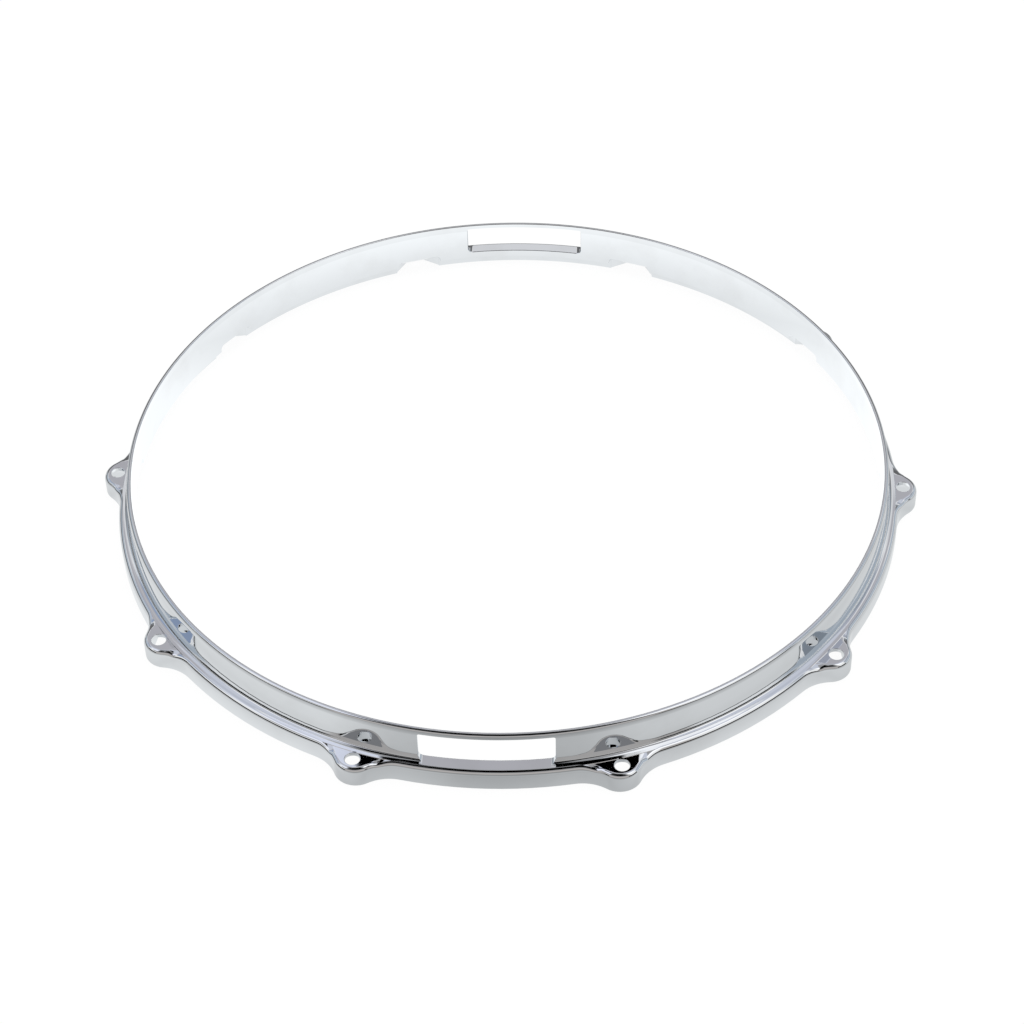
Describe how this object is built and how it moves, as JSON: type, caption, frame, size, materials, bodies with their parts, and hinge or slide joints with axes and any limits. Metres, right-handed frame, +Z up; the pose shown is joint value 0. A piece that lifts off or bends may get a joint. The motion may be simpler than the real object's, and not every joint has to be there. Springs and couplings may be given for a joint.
{
  "type": "drum hoop",
  "caption": "Chrome-plated snare-side drum hoop: an upright collar on a flanged skirt, rod ears spaced round the outside and opposed rectangular gates for the snare straps.",
  "frame": {"origin": "centre of the ring on the plane of the skirt's bottom edge", "axes": "+Z up from the skirt to the rim; -Y through the middle of the front gate, +Y through the back gate; +X through the right-hand ear that lies midway between the gates"},
  "size_m": [0.3942, 0.376, 0.0282],
  "materials": {
    "chrome_plate": "mirror-bright decorative chrome over a smooth zinc casting"
  },
  "bodies": {
    "root": {"ear_01": "chrome_plate", "collar_01": "chrome_plate", "skirt_01_02": "chrome_plate", "ear_02": "chrome_plate", "collar_02": "chrome_plate", "skirt_02_03": "chrome_plate", "ear_03": "chrome_plate", "collar_03": "chrome_plate", "skirt_03_04": "chrome_plate", "ear_04": "chrome_plate", "collar_04": "chrome_plate", "skirt_04_05": "chrome_plate", "ear_05": "chrome_plate", "collar_05": "chrome_plate", "gate_sill_back": "chrome_plate", "ear_06": "chrome_plate", "collar_06": "chrome_plate", "skirt_06_07": "chrome_plate", "ear_07": "chrome_plate", "collar_07": "chrome_plate", "skirt_07_08": "chrome_plate", "ear_08": "chrome_plate", "collar_08": "chrome_plate", "skirt_08_09": "chrome_plate", "ear_09": "chrome_plate", "collar_09": "chrome_plate", "skirt_09_10": "chrome_plate", "ear_10": "chrome_plate", "collar_10": "chrome_plate", "gate_sill_front": "chrome_plate", "gate_bridge_front": "chrome_plate", "gate_bridge_back": "chrome_plate"}
  },
  "joints": []
}
